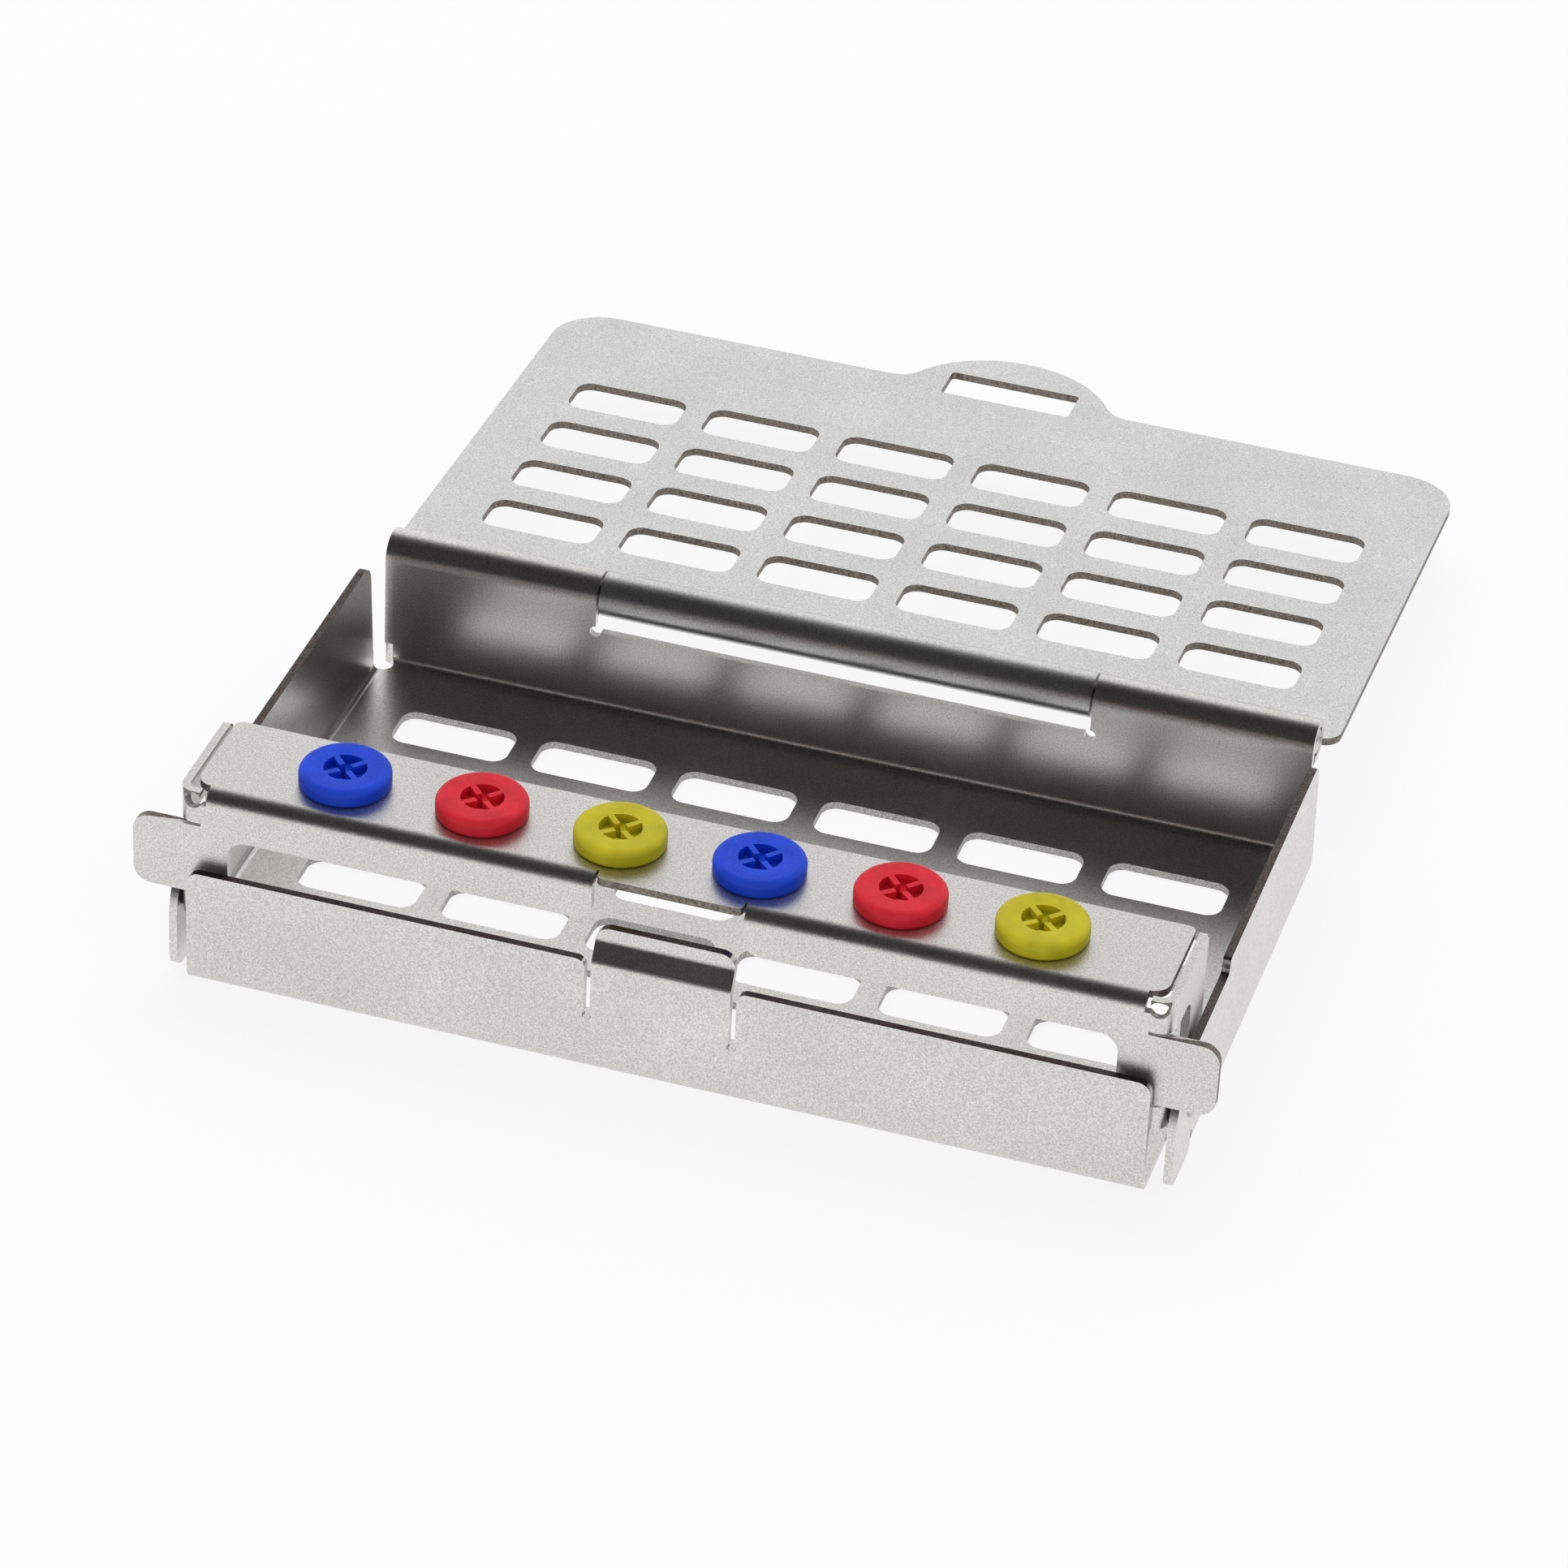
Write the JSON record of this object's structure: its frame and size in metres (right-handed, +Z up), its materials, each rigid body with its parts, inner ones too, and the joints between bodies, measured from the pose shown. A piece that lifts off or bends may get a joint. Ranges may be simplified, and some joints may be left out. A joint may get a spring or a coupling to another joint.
{
  "type": "instrument tray",
  "caption": "Small perforated steel tray for dental burs, with a hinged lid that latches on a spring tongue and a fold-down bar of silicone plugs.",
  "frame": {"origin": "on the underside of the floor, in the middle of the tray between its side walls and between its front and rear walls", "axes": "+X to the right along the hinge, +Y to the rear towards the hinge, +Z up from the surface the tray stands on"},
  "size_m": [0.079, 0.094, 0.0171],
  "materials": {
    "sheet_steel": "blasted satin stainless steel sheet",
    "pin_steel": "turned stainless steel",
    "silicone_blue": "moulded silicone, satin",
    "silicone_red": "moulded silicone, satin",
    "silicone_yellow": "moulded silicone, slightly translucent"
  },
  "bodies": {
    "tray": {"base_tray": "sheet_steel", "hinge_pin": "pin_steel", "pivot_rivet_left": "pin_steel", "pivot_rivet_right": "pin_steel"},
    "lid": {"lid": "sheet_steel"},
    "bar": {"plug_bar": "sheet_steel", "plug_1_blue": "silicone_blue", "plug_2_red": "silicone_red", "plug_3_yellow": "silicone_yellow", "plug_4_blue": "silicone_blue", "plug_5_red": "silicone_red", "plug_6_yellow": "silicone_yellow"}
  },
  "joints": [
    {"name": "lid_hinge", "type": "hinge", "parent": "tray", "child": "lid", "pos_m": [0, 0.02269, 0.0096], "axis": [1, 0, 0], "range_deg": [0, 183.42]},
    {"name": "plug_bar_fold", "type": "hinge", "parent": "tray", "child": "bar", "pos_m": [0, -0.01535, 0.00485], "axis": [-1, 0, 0], "range_deg": [0, 90]}
  ],
  "couplings": [
    {"joint": "plug_bar_fold", "follows": "lid_hinge", "ratio": 0.49067}
  ]
}
